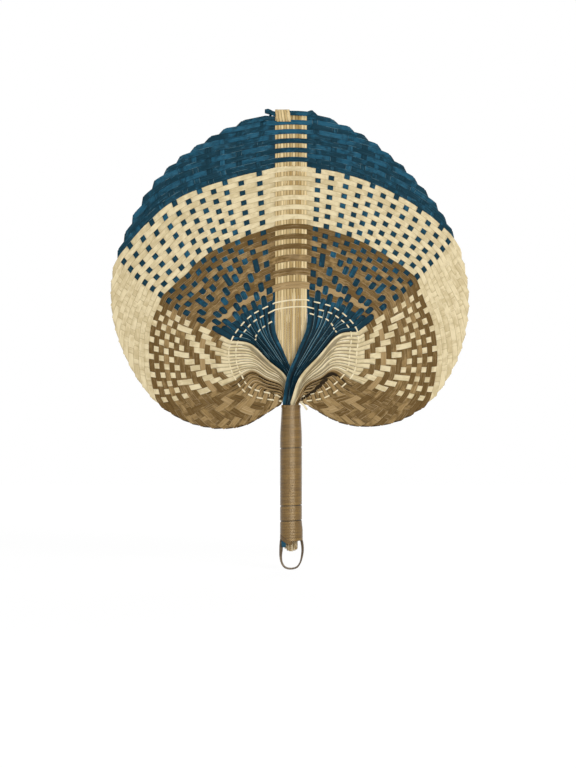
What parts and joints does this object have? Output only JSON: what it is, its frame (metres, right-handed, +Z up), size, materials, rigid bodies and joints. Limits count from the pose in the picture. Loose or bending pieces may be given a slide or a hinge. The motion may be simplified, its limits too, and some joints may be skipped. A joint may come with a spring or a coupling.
{
  "type": "woven hand fan",
  "caption": "Heart-shaped hand fan plaited from dyed strips around a flat spine of splints, with a bound stick grip and a springy hanging loop.",
  "frame": {"origin": "middle of the bound grip, on its axis, where a hand holds the fan", "axes": "+Z up the handle towards the blade, +X across the blade, the face of the fan looks along -Y"},
  "size_m": [0.2964, 0.0166, 0.3779],
  "materials": {
    "blue": "dyed leaf strip, satin",
    "cream": "natural leaf strip, satin",
    "brown": "dyed leaf strip, satin",
    "splint": "natural splint, satin",
    "cord": "natural leaf fibre, matte",
    "core": "cut strip ends, matte",
    "binding": "dyed leaf strip, satin",
    "loop": "split bamboo strip, satin"
  },
  "bodies": {
    "fan": {"blue_strip_01": "blue", "blue_strip_02": "blue", "blue_strip_03": "blue", "blue_strip_04": "blue", "blue_strip_05": "blue", "blue_strip_06": "blue", "blue_strip_07": "blue", "blue_strip_08": "blue", "blue_strip_09": "blue", "blue_strip_10": "blue", "blue_strip_11": "blue", "blue_strip_12": "blue", "cream_strip_01": "cream", "cream_strip_02": "cream", "cream_strip_03": "cream", "cream_strip_04": "cream", "cream_strip_05": "cream", "cream_strip_06": "cream", "cream_strip_07": "cream", "cream_strip_08": "cream", "cream_strip_09": "cream", "cream_strip_10": "cream", "cream_strip_11": "cream", "cream_strip_12": "cream", "brown_strip_01": "brown", "brown_strip_02": "brown", "brown_strip_03": "brown", "brown_strip_04": "brown", "brown_strip_05": "brown", "brown_strip_06": "brown", "brown_strip_07": "brown", "brown_strip_08": "brown", "brown_strip_09": "brown", "brown_strip_10": "brown", "brown_strip_11": "brown", "brown_strip_12": "brown", "spine_splint_01": "splint", "spine_splint_02": "splint", "spine_splint_03": "splint", "spine_splint_04": "splint", "spine_splint_05": "splint", "spine_splint_06": "splint", "spine_splint_07": "splint", "spine_splint_08": "splint", "spine_splint_09": "splint", "spine_splint_10": "splint", "spine_splint_11": "splint", "twining_cord_1": "cord", "twining_cord_2": "cord", "twining_cord_3": "cord", "grip_core": "core", "grip_binding": "binding", "loop_tail_left": "loop", "loop_tail_right": "loop"},
    "loop": {"hanging_loop": "loop"}
  },
  "joints": [
    {"name": "loop_flex", "type": "hinge", "parent": "fan", "child": "loop", "pos_m": [0, 0, -0.0583], "axis": [1, 0, 0], "range_deg": [-25, 25], "stiffness_Nm_per_rad": 0.02}
  ]
}
